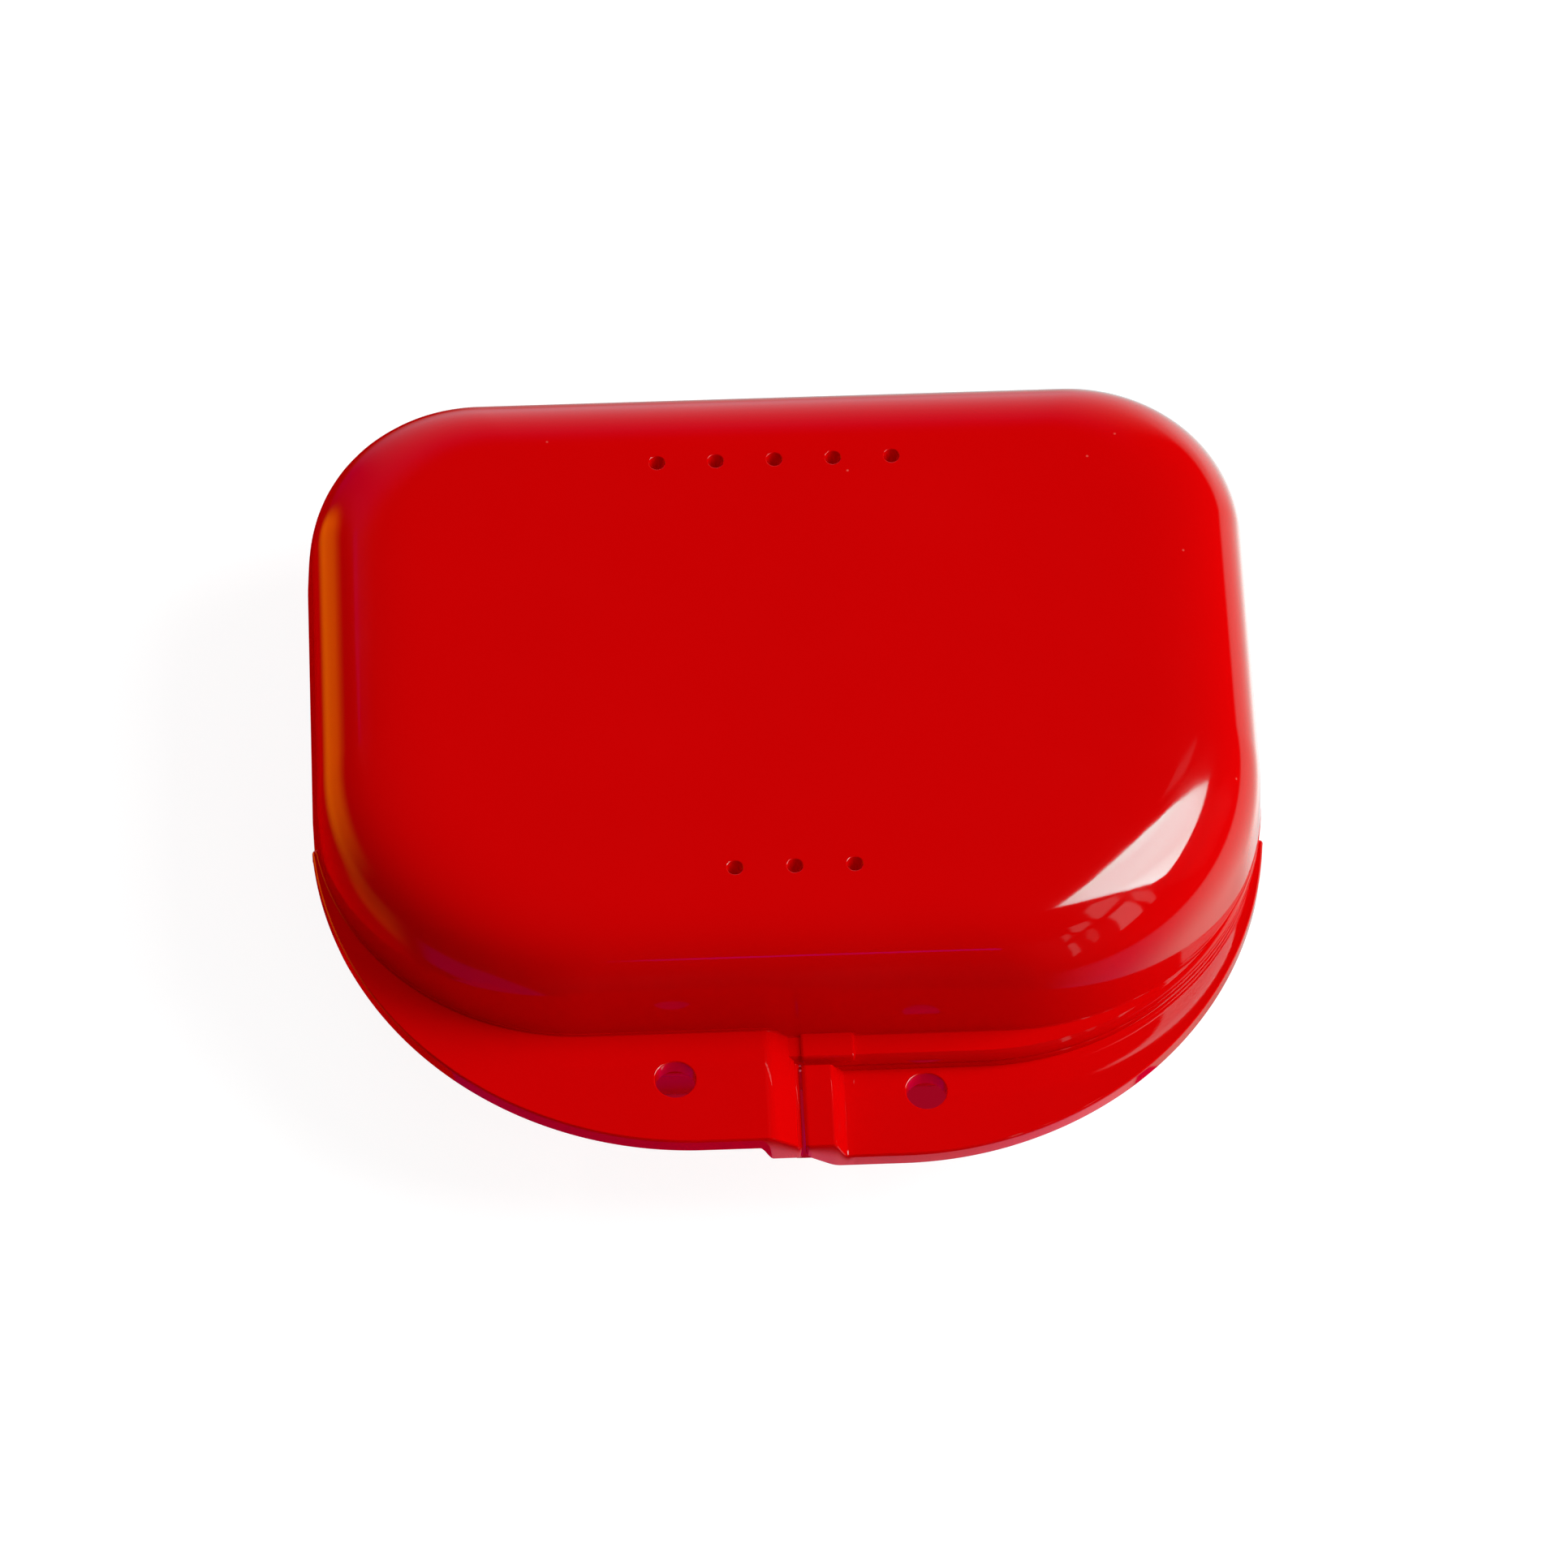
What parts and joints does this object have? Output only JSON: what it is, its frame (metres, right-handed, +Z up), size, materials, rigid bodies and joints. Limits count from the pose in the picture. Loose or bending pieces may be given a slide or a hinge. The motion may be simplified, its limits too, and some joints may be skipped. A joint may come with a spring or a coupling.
{
  "type": "retainer case",
  "caption": "Flat rounded case with a hinged lid, half-moon thumb tabs on the front and small vent holes, for keeping a dental retainer.",
  "frame": {"origin": "middle of the overall box, on the plane that the closed case rests on", "axes": "+X to the right along the case's longest side, +Y from the thumb tabs to the hinge, +Z up out of the lid"},
  "size_m": [0.0806, 0.0736, 0.025],
  "materials": {
    "red_plastic": "smooth polished red polypropylene",
    "pin_steel": "plain drawn steel wire"
  },
  "bodies": {
    "base": {"base_shell": "red_plastic", "hinge_pin_right": "pin_steel", "hinge_pin_left": "pin_steel"},
    "lid": {"lid_shell": "red_plastic"}
  },
  "joints": [
    {"name": "lid_hinge", "type": "hinge", "parent": "base", "child": "lid", "pos_m": [0, 0.03492, 0.0125], "axis": [-1, 0, 0], "range_deg": [0, 180]}
  ]
}
